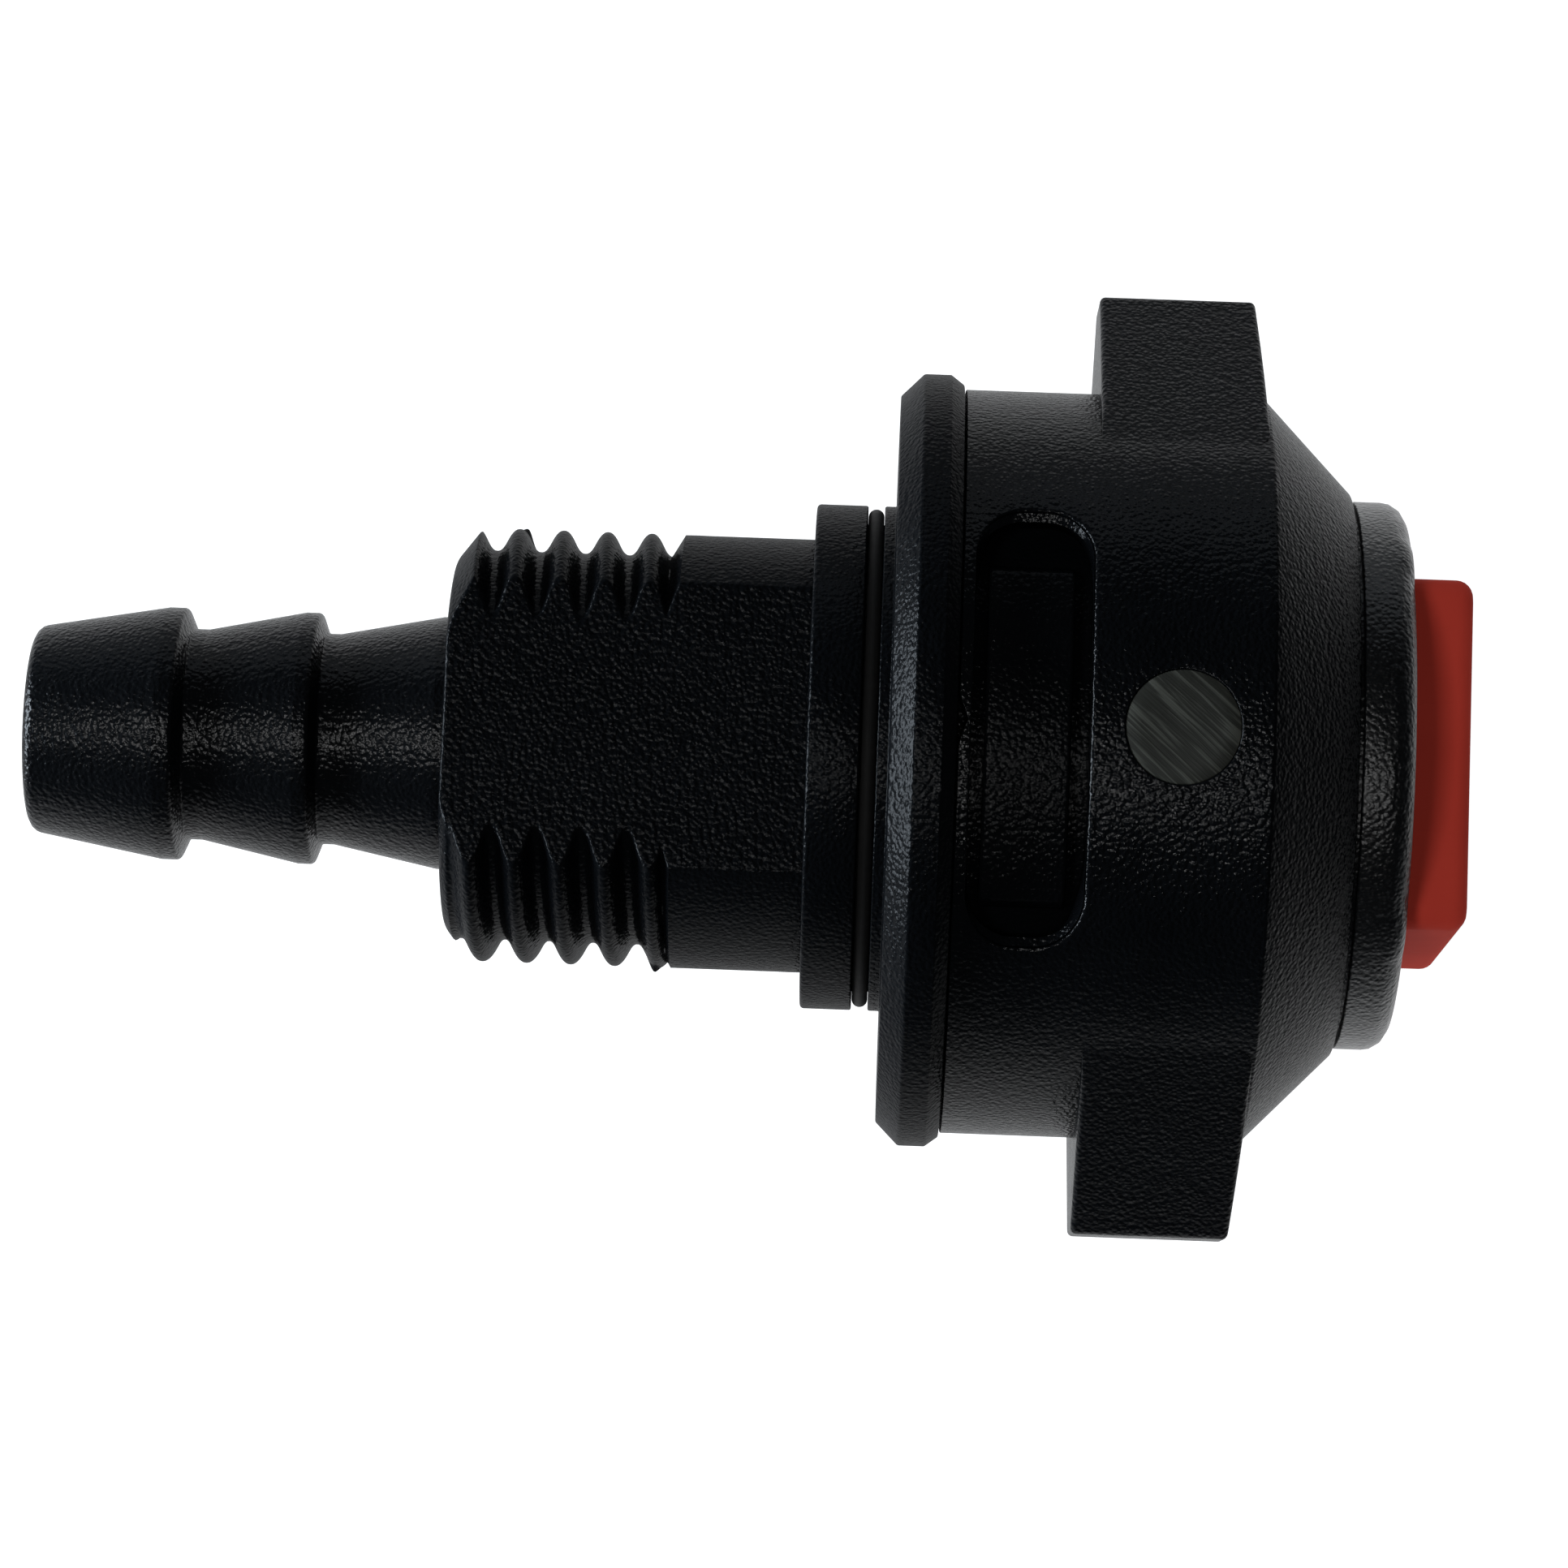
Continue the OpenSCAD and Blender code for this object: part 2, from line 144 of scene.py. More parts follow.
def arc_at(corner, before, after, radius):
    """The points of a fillet at one corner, or that many copies of the corner where there is no room."""
    to_before, to_after = before - corner, after - corner
    len_before, len_after = np.hypot(*to_before), np.hypot(*to_after)
    same = [tuple(corner)] * (ARC_STEPS + 1)
    if min(len_before, len_after) < 1e-6:
        return same
    to_before, to_after = to_before / len_before, to_after / len_after
    half = math.acos(max(-1, min(1, float(to_before @ to_after)))) / 2
    if math.cos(half) < 1e-3 or half < 1e-3:
        return same
    reach = min(radius / math.tan(half), 0.45 * len_before, 0.45 * len_after)
    middle = to_before + to_after
    centre = corner + middle / np.hypot(*middle) * reach / math.cos(half)
    first, last = corner + to_before * reach - centre, corner + to_after * reach - centre
    points = []
    for step in range(ARC_STEPS + 1):
        spoke = first + (last - first) * step / ARC_STEPS
        points.append(tuple(centre + spoke * reach * math.tan(half) / np.hypot(*spoke)))
    return points


def rounded(corners, closed=True):
    """Corners are (x, r, fillet radius)."""
    places = [np.array(c[:2], float) for c in corners]
    count = len(corners)
    points = []
    for i, (x, r, radius) in enumerate(corners):
        at_end = not closed and i in (0, count - 1)
        if radius == 0 or at_end:
            points.append((x, r))
        else:
            points += arc_at(places[i], places[i - 1], places[(i + 1) % count], radius)
    return points


def run(start, end, count):
    """Corners with no fillet, evenly spaced between two (x, r) ends, the ends left out."""
    shares = [(k + 1) / (count + 1) for k in range(count)]
    return [(start[0] + (end[0] - start[0]) * s, start[1] + (end[1] - start[1]) * s, 0) for s in shares]


def smooth_min(a, b, blend):
    """The smaller of two values, with a soft change from one to the other."""
    h = np.clip(0.5 + 0.5 * (b - a) / blend, 0, 1)
    return b * (1 - h) + a * h - blend * h * (1 - h)


def off_centre(angle, centre):
    """How far an angle is from another, in degrees, from -180 to 180."""
    return (angle - centre + 180) % 360 - 180


print("a fillet has", ARC_STEPS + 1, "points")

# %% [markdown]
# ## A skin with holes
#
# Booleans leave slivers along every cut, and slivers shade badly. So the windows are not cut: the grid is
# left out where a hole goes, and rings of quads lead from the grid's edge to the hole's true outline. Each
# ring follows the outline's own normals, which keeps its round corners round. Then the edge is rolled over
# and the wall goes down to the inner skin, so the piece stays one closed shell.

# %% The skin builder
class Skin:
    """Columns of (x, r) points round the X axis, as one closed mesh."""

    def __init__(self, angles, column_at, closed=True):
        self.angles = np.array(angles, float)
        grid = np.array([column_at(a) for a in self.angles])
        self.grid = grid
        turns = np.radians(self.angles)[:, None]
        x, r = grid[:, :, 0], grid[:, :, 1]
        self.points = list(np.stack([x, r * np.cos(turns), r * np.sin(turns)], axis=2).reshape(-1, 3))
        self.columns, self.places = x.shape
        last = self.places if closed else self.places - 1
        self.quads = {
            (c, p): [self.node(c, p), self.node(c, p + 1), self.node(c + 1, p + 1), self.node(c + 1, p)]
            for c in range(self.columns)
            for p in range(last)
        }
        self.extra = []

    def node(self, column, place):
        return (column % self.columns) * self.places + place % self.places

    def edge_of(self, columns, places):
        """The nodes round a patch of the grid, in order."""
        c0, c1 = columns
        p0, p1 = places
        return (
            [self.node(c, p0) for c in range(c0, c1)]
            + [self.node(c1, p) for p in range(p0, p1)]
            + [self.node(c, p1) for c in range(c1, c0, -1)]
            + [self.node(c0, p) for p in range(p1, p0, -1)]
        )

    def take_out(self, columns, places):
        for c in range(*columns):
            for p in range(*places):
                del self.quads[(c % self.columns, p)]

    def add_ring(self, before, points):
        """Adds a loop of points and joins it to the loop before it."""
        first = len(self.points)
        self.points += list(points)
        loop = list(range(first, len(self.points)))
        self.join(before, loop)
        return loop

    def join(self, before, after):
        count = len(before)
        self.extra += [
            [before[i], before[(i + 1) % count], after[(i + 1) % count], after[i]] for i in range(count)
        ]

    def places_between(self, column, low, high, radius):
        """First and last place of a column that lie on a radius and within an x range."""
        x, r = self.grid[column % self.columns].T
        found = np.nonzero((np.abs(r - radius) < 1e-4) & (x > low) & (x < high))[0]
        ends = found[np.argmin(x[found])], found[np.argmax(x[found])]
        return int(min(ends)), int(max(ends))

    def column_near(self, angle):
        return int(np.argmin(np.abs(off_centre(self.angles, angle))))

    def hole_side(self, hole, radius, steps):
        """Clears the patch on one skin and leads rings to the start of the hole's rolled edge.

        The rolled edge is a lip wide, less the hole's thin_left share of it on the -X side.
        """
        c0 = self.column_near(hole["angle"] - hole["half_angle"])
        c1 = self.column_near(hole["angle"] + hole["half_angle"])
        c1 += self.columns if c1 < c0 else 0
        places = self.places_between(c0, hole["x"][0], hole["x"][1], radius)
        loop = self.edge_of((c0, c1), places)
        self.take_out((c0, c1), places)
        turn = math.radians(hole["angle"])
        flat = []
        for i in loop:
            x, y, z = self.points[i]
            flat.append((x, z * math.cos(turn) - y * math.sin(turn)))
        flat = np.array(flat)
        core = np.clip(flat - hole["centre"], -hole["core"], hole["core"]) + hole["centre"]
        away = flat - core
        distance = np.hypot(*away.T)
        normal = away / distance[:, None]
        lip = hole["lip"] * (1 - hole["thin_left"] * np.maximum(0, -normal[:, 0]))
        for step in range(1, steps + 1):
            share = step / steps
            reach = distance * (1 - share) + (hole["corner"] + lip) * share
            loop = self.add_ring(loop, self.raised(core + normal * reach[:, None], radius, turn))
        return loop, core, normal, lip, turn

    def raised(self, flat, radius, turn):
        """Lifts points of the hole's plane on to a radius about X."""
        height = np.sqrt(radius ** 2 - flat[:, 1] ** 2)
        y = height * math.cos(turn) - flat[:, 1] * math.sin(turn)
        z = height * math.sin(turn) + flat[:, 1] * math.cos(turn)
        return np.stack([flat[:, 0], y, z], axis=1)

    def roll_edge(self, loop, core, normal, lip, turn, corner, radius):
        """A quarter round from the skin down into the hole's wall."""
        for step in range(1, ARC_STEPS + 1):
            bend = math.radians(90 * step / ARC_STEPS)
            reach = corner + lip * (1 - math.sin(bend))
            depth = lip * (1 - math.cos(bend))
            loop = self.add_ring(loop, self.raised(core + normal * reach[:, None], radius - depth, turn))
        return loop

    def through_hole(self, hole, outer, inner, ledge=(), steps=6):
        """Opens a hole. A ledge lists (radius, how far the ends have come in) on the way down."""
        loop, core, normal, lip, turn = self.hole_side(hole, outer, steps)
        loop = self.roll_edge(loop, core, normal, lip, turn, hole["corner"], outer)
        half = hole["core"]
        for radius, inward in ledge:
            half = hole["core"] - np.array([0, inward])
            stepped = np.clip(core - hole["centre"], -half, half) + hole["centre"]
            loop = self.add_ring(loop, self.raised(stepped + normal * hole["corner"], radius, turn))
        inner_loop, *_ = self.hole_side(dict(hole, lip=0, core=half), inner, steps)
        self.join(loop, self.matched(inner_loop, [self.points[i] for i in loop]))

    def matched(self, loop, points):
        """The inner loop runs the other way round, so it is turned to start at the nearest point."""
        ends = np.array([self.points[i] for i in loop])
        start = int(np.argmin(np.linalg.norm(ends - np.array(points[0]), axis=1)))
        forward = loop[start:] + loop[:start]
        backward = forward[:1] + forward[:0:-1]
        gaps = [
            sum(np.linalg.norm(np.array(self.points[i]) - p) for i, p in zip(way, points))
            for way in (forward, backward)
        ]
        return forward if gaps[0] <= gaps[1] else backward

    def build(self, name, material, sharp=40):
        return mesh_piece(name, self.points, list(self.quads.values()) + self.extra, material, sharp)


WELD = 0.002


def mesh_piece(name, points, faces, material, sharp=40):
    """Makes an object from points in millimetres, welds it and gives it smooth faces with crisp creases."""
    mesh = bpy.data.meshes.new(name)
    mesh.from_pydata([tuple(np.array(p) * MM) for p in points], [], faces)
    shape = bmesh.new()
    shape.from_mesh(mesh)
    bmesh.ops.remove_doubles(shape, verts=shape.verts, dist=WELD * MM)
    bmesh.ops.dissolve_degenerate(shape, edges=shape.edges, dist=WELD * MM / 2)
    bmesh.ops.recalc_face_normals(shape, faces=shape.faces)
    shape.to_mesh(mesh)
    shape.free()
    piece = bpy.data.objects.new(name, mesh)
    bpy.context.scene.collection.objects.link(piece)
    for face in mesh.polygons:
        face.use_smooth = True
    mesh.set_sharp_from_angle(angle=math.radians(sharp))
    mesh.materials.append(material)
    print(name, "has", len(mesh.vertices), "points and", len(mesh.polygons), "faces")
    return piece


# %% [markdown]
# ## Shader maths as plain expressions
#
# A wall of Math nodes is hard to read. `Value` wraps one socket, so that `1 - mask * 0.4` adds the Math nodes
# by itself. `Board` is one material's node tree; its `add` method makes any other node.

# %% Sockets as values
class Value:
    def __init__(self, board, socket):
        self.board = board
        self.socket = socket

    def maths(self, operation, *values):
        return self.board.add("ShaderNodeMath", {"operation": operation}, dict(enumerate(values)))

    def __add__(self, other):
        return self.maths("ADD", self, other)

    def __sub__(self, other):
        return self.maths("SUBTRACT", self, other)

    def __rsub__(self, other):
        return self.maths("SUBTRACT", other, self)

    def __mul__(self, other):
        return self.maths("MULTIPLY", self, other)

    def __truediv__(self, other):
        return self.maths("DIVIDE", self, other)

    def __pow__(self, other):
        return self.maths("POWER", self, other)

    __radd__ = __add__
    __rmul__ = __mul__


class Board:
    """The node tree of one material, with a principled shader at its end."""

    def __init__(self, name):
        self.material = bpy.data.materials.new(name)
        self.material.use_nodes = True
        self.tree = self.material.node_tree
        self.tree.nodes.clear()
        self.shader = self.tree.nodes.new("ShaderNodeBsdfPrincipled")
        self.end = self.tree.nodes.new("ShaderNodeOutputMaterial")
        self.tree.links.new(self.shader.outputs[0], self.end.inputs["Surface"])

    def add(self, kind, settings=None, sockets=None, output=0):
        node = self.tree.nodes.new(kind)
        for key, value in (settings or {}).items():
            if key == "stops":
                self.set_stops(node.color_ramp, value)
            else:
                setattr(node, key, value)
        for key, value in (sockets or {}).items():
            self.feed(node.inputs[key], value)
        return Value(self, node.outputs[output])

    def set_stops(self, ramp, stops):
        while len(ramp.elements) < len(stops):
            ramp.elements.new(0.5)
        for element, (place, shade) in zip(ramp.elements, stops):
            element.position = place
            element.color = (shade, shade, shade, 1)

    def feed(self, socket, value):
        if isinstance(value, Value):
            self.tree.links.new(value.socket, socket)
        else:
            socket.default_value = value

    def millimetres(self, stretch=(1, 1, 1)):
        """The place on the piece, in millimetres, stretched along an axis if asked."""
        here = self.add("ShaderNodeTexCoord", output="Object")
        scale = tuple(s / MM for s in stretch)
        return self.add("ShaderNodeVectorMath", {"operation": "MULTIPLY"}, {0: here, 1: scale})

    def axes(self, place):
        split = self.tree.nodes.new("ShaderNodeSeparateXYZ")
        self.feed(split.inputs[0], place)
        return [Value(self, out) for out in split.outputs]

    def noise(self, place, per_mm, detail=2.0, roughness=0.5):
        sockets = {"Vector": place, "Scale": per_mm, "Detail": detail, "Roughness": roughness}
        return self.add("ShaderNodeTexNoise", sockets=sockets)

    def pebbles(self, place, per_mm):
        """Soft round bumps, one to a cell."""
        settings = {"feature": "SMOOTH_F1"}
        sockets = {"Vector": place, "Scale": per_mm, "Smoothness": 0.6}
        return 1 - self.add("ShaderNodeTexVoronoi", settings, sockets)

    def ramp(self, value, stops):
        return self.add("ShaderNodeValToRGB", {"stops": stops}, {0: value})

    def blend(self, mask, low, high):
        """A colour that goes from low to high as the mask goes from 0 to 1."""
        sockets = {0: mask, 6: (*low, 1), 7: (*high, 1)}
        return self.add("ShaderNodeMix", {"data_type": "RGBA"}, sockets, output=2)

    def bump(self, height, depth_mm, strength=1.0):
        sockets = {"Height": height, "Distance": depth_mm * MM, "Strength": strength}
        return self.add("ShaderNodeBump", sockets=sockets)

    def finish(self, shine=None, **sockets):
        """Feeds the shader. Given a share of shine, it is mixed with a plain matt of the same colour."""
        for name, value in sockets.items():
            self.feed(self.shader.inputs[name.replace("_", " ")], value)
        if shine is not None:
            plain = {
                "Base Color": sockets["Base_Color"], "Normal": sockets["Normal"],
                "Roughness": 1.0, "Specular IOR Level": 0.0,
            }
            matt = self.add("ShaderNodeBsdfPrincipled", sockets=plain)
            glossy = Value(self, self.shader.outputs[0])
            both = self.add("ShaderNodeMixShader", sockets={0: shine, 1: matt, 2: glossy})
            self.feed(self.end.inputs["Surface"], both)
        return self.material


print("shader helpers ready")

# %% [markdown]
# ## The black moulded plastic
#
# The mould was spark eroded, which leaves a grain of tiny pebbles about a seventh of a millimetre apart on
# everything it makes. The grain is far too fine for the mesh, so it is a bump. Where light grazes it, each
# pebble sparkles by itself, so the roughness is kept fairly low and the bump does the scattering.
#
# A moulded skin is a little chalky and shines less at a slant than clean plastic would. More roughness could
# show that, but the grain would lose its sparkle. So each finish is mixed with a plain matt of its own colour
# and keeps only a share of its shine. The barb keeps more of it than the rest of the body.

# %% Grained black plastic
GRAIN_DEPTH = 0.040
PEBBLES_PER_MM = 7.2
FINE_PER_MM = 8.0
BROAD_PER_MM = 0.35
SHEEN_PER_MM = 2.2


def grained_black(name, shine, roughness=0.16, specular=0.2, flow=None, barb_shine=None):
    board = Board(name)
    place = board.millimetres()
    pebbles = board.pebbles(place, PEBBLES_PER_MM)
    fine = board.noise(place, FINE_PER_MM, 2.0)
    broad = board.noise(place, BROAD_PER_MM, 2.0)
    height = pebbles * 0.7 + fine * 0.5
    if flow:
        height = height + flow(board, place)
    if barb_shine:
        x = board.axes(place)[0]
        shine = shine + x.maths("LESS_THAN", x, SHANK_END) * (barb_shine - shine)
    sheen = board.noise(place, SHEEN_PER_MM, 1.0)
    tint = board.blend(broad, (0.0010, 0.0012, 0.0015), (0.0026, 0.0030, 0.0036))
    return board.finish(
        shine,
        Base_Color=tint,
        Roughness=roughness + sheen * 0.12,
        Specular_IOR_Level=specular,
        Normal=board.bump(height, GRAIN_DEPTH),
    )


def flow_lines(board, place):
    """Faint arcs that the melt left on the two flats of the shank, and nowhere else."""
    x, y, z = board.axes(place)
    turn = math.radians(90 + SQUARE_TURN)
    across = y * math.cos(turn) + z * math.sin(turn)
    depth = board.add("ShaderNodeMath", {"operation": "ABSOLUTE"}, {0: across})
    on_flat = board.ramp((depth - FLAT) * 5 + 0.5, [(0.30, 0.0), (0.42, 1.0), (0.58, 1.0), (0.70, 0.0)])
    on_shank = x.maths("LESS_THAN", x, COLLAR_X)
    away = ((x + 3.5) ** 2 + (y + 2.5) ** 2) ** 0.5
    waver = board.noise(place, 0.9, 1.0) * 0.5
    waves = board.add("ShaderNodeMath", {"operation": "SINE"}, {0: (away + waver) * 21})
    broken = board.ramp(board.noise(place, 1.6, 1.0), [(0.40, 0.25), (0.62, 1.0)])
    return waves * broken * on_flat * on_shank * 0.10


body_black = grained_black("body_grain", shine=0.19, flow=flow_lines, barb_shine=0.5)
cap_black = grained_black("cap_grain", shine=0.38, roughness=0.12)
nose_black = grained_black("nose_grain", shine=0.95, roughness=0.28, specular=0.33)
print("black finishes:", body_black.name, cap_black.name, nose_black.name)

# %% [markdown]
# ## The other finishes
#
# The pin's end was sanded flush with the cap, so it is paler and carries straight scratches. The button is
# a red plastic with a few rubs and next to no shine. Seals are soft black rubber, the guide and the seat
# are natural white acetal, and the stem and spring are stainless steel. The inner ones hardly show, but they
# are finished too.

# %% Pin, button and inner finishes
PIN_SHINE = 0.5
BUTTON_SHINE = 0.04


def sanded_grey():
    board = Board("sanded_pin")
    place = board.millimetres()
    x, y, _ = board.axes(place)
    across = x * 0.66 + y * 0.75
    along = y * 0.66 - x * 0.75
    lines = board.add("ShaderNodeCombineXYZ", sockets={0: across * 7.5, 1: along * 0.30})
    scratch = board.noise(lines, 1.0, 2.0, 0.6)
    marks = board.ramp(scratch, [(0.50, 0.0), (0.60, 1.0)])
    cloud = board.noise(place, 1.3, 2.0)
    tint = board.blend(marks * 0.7 + cloud * 0.3, (0.009, 0.0095, 0.008), (0.046, 0.048, 0.041))
    return board.finish(
        PIN_SHINE,
        Base_Color=tint,
        Roughness=0.5 + marks * 0.2,
        Specular_IOR_Level=0.15,
        Normal=board.bump(scratch + cloud * 0.3, 0.02),
    )


def rubbed_red():
    board = Board("red_button")
    place = board.millimetres()
    cloud = board.noise(place, 0.28, 2.0)
    thin = board.millimetres((0.5, 4.0, 1.6))
    rubs = board.ramp(board.noise(thin, 1.0, 4.0, 0.7), [(0.60, 0.0), (0.72, 1.0)])
    tint = board.blend(cloud, (0.46, 0.043, 0.028), (0.59, 0.058, 0.038))
    skin = board.noise(place, 3.0, 3.0)
    return board.finish(
        BUTTON_SHINE,
        Base_Color=tint,
        Roughness=0.18 + rubs * 0.25 + skin * 0.05,
        Specular_IOR_Level=0.3,
        Normal=board.bump(skin * 0.4 + rubs * 0.5, 0.008),
    )


def soft_rubber():
    board = Board("black_rubber")
    place = board.millimetres()
    dust = board.noise(place, 4.0, 3.0)
    tint = board.blend(dust, (0.003, 0.003, 0.003), (0.007, 0.007, 0.007))
    return board.finish(
        Base_Color=tint, Roughness=0.6 + dust * 0.2, Specular_IOR_Level=0.12, Normal=board.bump(dust, 0.01)
    )


def white_acetal():
    board = Board("white_acetal")
    place = board.millimetres()
    cloud = board.noise(place, 0.6, 2.0)
    tint = board.blend(cloud, (0.66, 0.66, 0.61), (0.76, 0.76, 0.72))
    return board.finish(
        Base_Color=tint, Roughness=0.38 + cloud * 0.1, Normal=board.bump(board.noise(place, 6.0), 0.008)
    )


def turned_steel():
    board = Board("turned_steel")
    fine = board.noise(board.millimetres((14, 1, 1)), 1.0, 2.0)
    tint = board.blend(fine, (0.50, 0.50, 0.52), (0.64, 0.64, 0.66))
    return board.finish(
        Base_Color=tint, Metallic=1.0, Roughness=0.24 + fine * 0.14, Normal=board.bump(fine, 0.004)
    )


pin_grey = sanded_grey()
button_red = rubbed_red()
rubber = soft_rubber()
acetal = white_acetal()
steel = turned_steel()
print("finishes:", [m.name for m in bpy.data.materials if m.users == 0])

# %% [markdown]
# ## Columns round the axis
#
# Angles run from +Y towards +Z. A skin needs narrow columns only where something turns a corner: at the
# wings' tips, where the wings meet the barrel, and at the ends of the lugs.

# %% Column angles
def column_angles(step, busy=(), busy_step=0.4, busy_half=1.8):
    angles = list(np.arange(0, 360, step))
    for centre in busy:
        near = np.arange(-busy_half, busy_half + busy_step / 2, busy_step)
        angles = [a for a in angles if abs(off_centre(a, centre)) > busy_half + step / 2]
        angles += [(centre + d) % 360 for d in near]
    return sorted(set(np.round(angles, 4)))


print("a plain skin has", len(column_angles(1.0)), "columns")

# %% [markdown]
# ## The thread
#
# A quarter-inch pipe thread is a true right-handed helix. Round the axis the radius of a thread is a simple
# rule: how far is this point from the nearest turn of the crest? That rule gives crests, flanks and roots
# with no sweeping, and the two flats are just another limit on the same radius.

# %% Radius of the threaded shank
CREST_AT_Y = -10.09
SHARP_PEAK = 0.33
FLANK = math.radians(27.5)
CHAMFER_R = 5.59
CHAMFER_L = 0.76
RUNOUT_X = -6.75
SHANK_EDGE = 0.12


def thread_radius(x, angle):
    turn = (x - CREST_AT_Y) / PITCH - angle / 360
    from_crest = np.abs(turn - np.round(turn)) * PITCH
    flank = THREAD_R + SHARP_PEAK - from_crest / math.tan(FLANK)
    crest = smooth_min(flank, np.full_like(x, THREAD_R), 0.30)
    threaded = -smooth_min(-crest, np.full_like(x, -ROOT_R), 0.24)
    lead_in = CHAMFER_R + (x - SHANK_END) * (THREAD_R - CHAMFER_R) / CHAMFER_L
    threaded = smooth_min(threaded, np.minimum(lead_in, THREAD_R + 1), 0.08)
    run_out = ROOT_R + (x - RUNOUT_X) * (SHANK_R - ROOT_R) / (SMOOTH_X - RUNOUT_X)
    return np.maximum(threaded, np.minimum(run_out, SHANK_R))


def mould_flash(x, angle):
    """Small fins that the mould's parting line left on three crests."""
    fins = [(0.8, -11.15, 0.22, 1.1), (181.0, -6.85, 0.16, 0.8), (359.2, -10.0, 0.06, 0.8)]
    extra = np.zeros_like(x)
    for centre, at_x, height, width in fins:
        side = math.exp(-((off_centre(angle, centre) / width) ** 2))
        extra += height * side * np.exp(-(((x - at_x) / 0.16) ** 2))
    return extra


def shank_radius(x, angle):
    r = thread_radius(x, angle) + mould_flash(x, angle)
    slope = abs(math.sin(math.radians(angle - SQUARE_TURN)))
    r = smooth_min(r, np.full_like(x, FLAT / max(slope, 0.05)), 0.06)
    edge = np.clip(SHANK_EDGE - (x - SHANK_END), 0, SHANK_EDGE)
    return r - (SHANK_EDGE - np.sqrt(SHANK_EDGE ** 2 - edge ** 2))


print("radius on a flat:", round(float(shank_radius(np.array([COLLAR_X]), 90 + SQUARE_TURN)[0]), 2))

# %% [markdown]
# ## The body
#
# Barb, shank, collar, flange and the drum inside the cap are one moulding. The lugs rise out of the drum
# where the cap's windows are. Their ends step down in a long bevel and then a short steep drop.

# %% Lugs and pin slots on the drum
LUG_TOP = 10.75
LUG_MIDDLE = 10.42
LUG_OFFSET = 1.5
LUG_HALF = 28.6
LUG_BEVEL = 2.4
LUG_X = (2.7, 5.18)
SLOT_X = (6.66, 10.04)
SLOT_R = 9.0
SLOT_HALF = 25
SIDES = (90, 270)


def lug_radius(angle):
    off = min(abs(off_centre(angle, side + LUG_OFFSET)) for side in SIDES)
    steps = [0, LUG_HALF - LUG_BEVEL, LUG_HALF - 0.5, LUG_HALF]
    heights = [LUG_TOP, LUG_TOP, LUG_MIDDLE, DRUM_R]
    return float(np.interp(off, steps, heights))


def slot_radius(angle):
    off = min(abs(off_centre(angle, side)) for side in SIDES)
    return SLOT_R if off <= SLOT_HALF else DRUM_R


print("a lug rises", round(lug_radius(SIDES[0] + LUG_OFFSET) - DRUM_R, 2), "mm out of the drum")

# %% One column of the body
BARB = [
    (TIP_X, BORE_R, 0.2), (TIP_X, 3.105, 0.4), (-21.94, 3.83, 0.15), (-21.41, 3.83, 0.14),
    (-21.13, 3.20, 0.12), (-20.72, 3.20, 0.15), (-17.78, 3.82, 0.15), (-17.33, 3.82, 0.14),
    (-17.10, 3.20, 0.12), (-16.72, 3.20, 0.15), (-13.59, 3.83, 0.1), (SHANK_END, 3.83, 0.08),
]
THREAD_STEPS = 170
edge_x = [SHANK_END + SHANK_EDGE * (1 - math.cos(math.radians(a))) for a in (0, 25, 45, 65, 90)]
thread_x = np.concatenate([edge_x, np.linspace(SHANK_END + SHANK_EDGE + 0.03, SMOOTH_X, THREAD_STEPS)])
smooth_x = np.linspace(SMOOTH_X, COLLAR_X, 12)[1:]
shank_x = np.concatenate([thread_x, smooth_x])
GROOVE_X = (-0.86, -0.36)
GROOVE_R = 7.05
FLANGE_T = 1.9
FLANGE_BACK = 0.69
FLANGE_FRONT = (0.4, 0.3)
FLAT_HALF_ANGLE = 40.5
CAP_GROOVE_X = (5.85, 6.55)
CAP_GROOVE_R = 9.4
CHAMBER_R = 8.2
INLET_R = 4.4
SEAT_X = 2.2
INLET_X = -3.0


def body_column(angle):
    shank = shank_radius(shank_x, angle)
    lug, slot = lug_radius(angle), slot_radius(angle)
    corners = BARB + [(x, r, 0) for x, r in zip(shank_x, shank)]
    corners += [
        (COLLAR_X, COLLAR_R, 0.12), (GROOVE_X[0], COLLAR_R, 0.06), (GROOVE_X[0], GROOVE_R, 0.05),
        (GROOVE_X[1], GROOVE_R, 0.05), (GROOVE_X[1], COLLAR_R, 0.06), (0, COLLAR_R, 0.06),
        (0, FLANGE_R - FLANGE_BACK, 0.1), (FLANGE_BACK, FLANGE_R, 0.14),
        (FLANGE_T - FLANGE_FRONT[0], FLANGE_R, 0.1), (FLANGE_T, FLANGE_R - FLANGE_FRONT[1], 0.08),
        (FLANGE_T, DRUM_R, 0.05),
        (LUG_X[0], DRUM_R, 0), (LUG_X[0], lug, 0.12),
    ]
    corners += run((LUG_X[0], lug), (LUG_X[1], lug), 6)
    corners += [
        (LUG_X[1], lug, 0.12), (LUG_X[1], DRUM_R, 0),
        (CAP_GROOVE_X[0], DRUM_R, 0), (CAP_GROOVE_X[0], CAP_GROOVE_R, 0),
        (CAP_GROOVE_X[1], CAP_GROOVE_R, 0), (CAP_GROOVE_X[1], DRUM_R, 0),
        (SLOT_X[0], DRUM_R, 0), (SLOT_X[0], slot, 0), (SLOT_X[1], slot, 0), (SLOT_X[1], DRUM_R, 0),
        (DRUM_END, DRUM_R, 0.15), (DRUM_END, CHAMBER_R, 0.15), (SEAT_X, CHAMBER_R, 0),
        (SEAT_X, INLET_R, 0), (INLET_X, INLET_R, 0), (INLET_X, BORE_R, 0),
    ]
    return rounded(corners)


